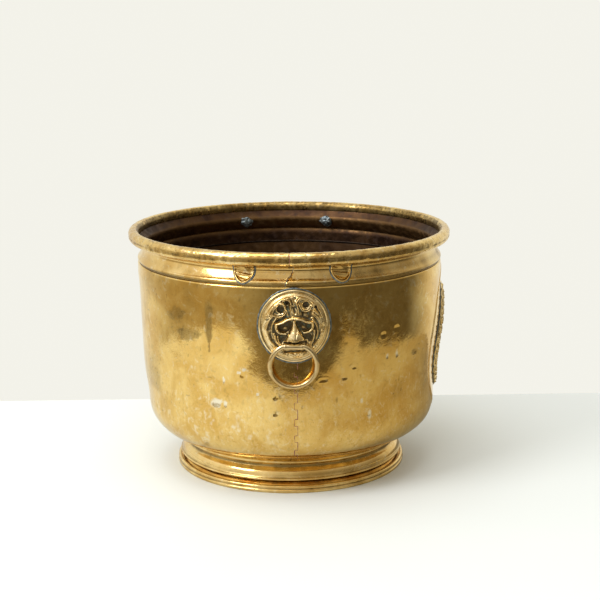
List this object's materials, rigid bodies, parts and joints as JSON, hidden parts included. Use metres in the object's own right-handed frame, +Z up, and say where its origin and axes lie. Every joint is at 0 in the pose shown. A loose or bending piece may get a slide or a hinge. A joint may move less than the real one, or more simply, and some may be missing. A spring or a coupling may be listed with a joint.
{
  "type": "brass planter pot",
  "caption": "Footed round planter pot of seamed sheet brass with a necked wired rim, hinged ring handles on lion masks and an oval wreath plaque; holds a plant or an inner pot.",
  "frame": {"origin": "on the ground at the centre of the foot, which is the bottom centre of the bounding box", "axes": "+Z up along the pot's axis; the front lion mask faces -Y, the back one +Y, and the wreath plaque faces +X"},
  "size_m": [0.33, 0.337, 0.2495],
  "materials": {
    "hammered_brass": "old hammered sheet brass, polished outside with brown patina inside",
    "polished_brass": "polished with fine scratches",
    "cast_brass": "cast, bright on the high points and dark green-brown in the hollows",
    "braze": "reddish brazing, dull",
    "solder": "dull blue-grey soft solder",
    "iron": "plain iron wire, hidden"
  },
  "bodies": {
    "pot": {"body_wall": "hammered_brass", "wall_seam_braze": "braze", "base_plate": "hammered_brass", "base_seam_braze": "braze", "neck_band": "polished_brass", "neck_seam_solder": "solder", "neck_joint_solder": "solder", "rim_roll": "hammered_brass", "rim_wire": "iron", "rim_joint_braze": "braze", "foot_skirt": "polished_brass", "foot_joint_solder": "solder", "foot_base_ring": "polished_brass", "foot_wire": "iron", "lion_mask_front": "cast_brass", "lion_mask_back": "cast_brass", "mask_solder_front": "solder", "mask_solder_back": "solder", "ring_strap_front": "polished_brass", "ring_strap_back": "polished_brass", "wreath_plaque": "cast_brass", "plaque_solder": "solder", "neck_patch_front_left": "polished_brass", "neck_patch_front_right": "polished_brass", "neck_patch_back_left": "polished_brass", "neck_patch_back_right": "polished_brass", "patch_solder": "solder", "inner_solder_blobs": "solder"},
    "front_ring": {"ring_front": "polished_brass"},
    "back_ring": {"ring_back": "polished_brass"}
  },
  "joints": [
    {"name": "front_ring_swing", "type": "hinge", "parent": "pot", "child": "front_ring", "pos_m": [0, -0.15936, 0.16], "axis": [-1, 0, 0], "range_deg": [0, 180]},
    {"name": "back_ring_swing", "type": "hinge", "parent": "pot", "child": "back_ring", "pos_m": [0, 0.15936, 0.16], "axis": [1, 0, 0], "range_deg": [0, 180]}
  ]
}
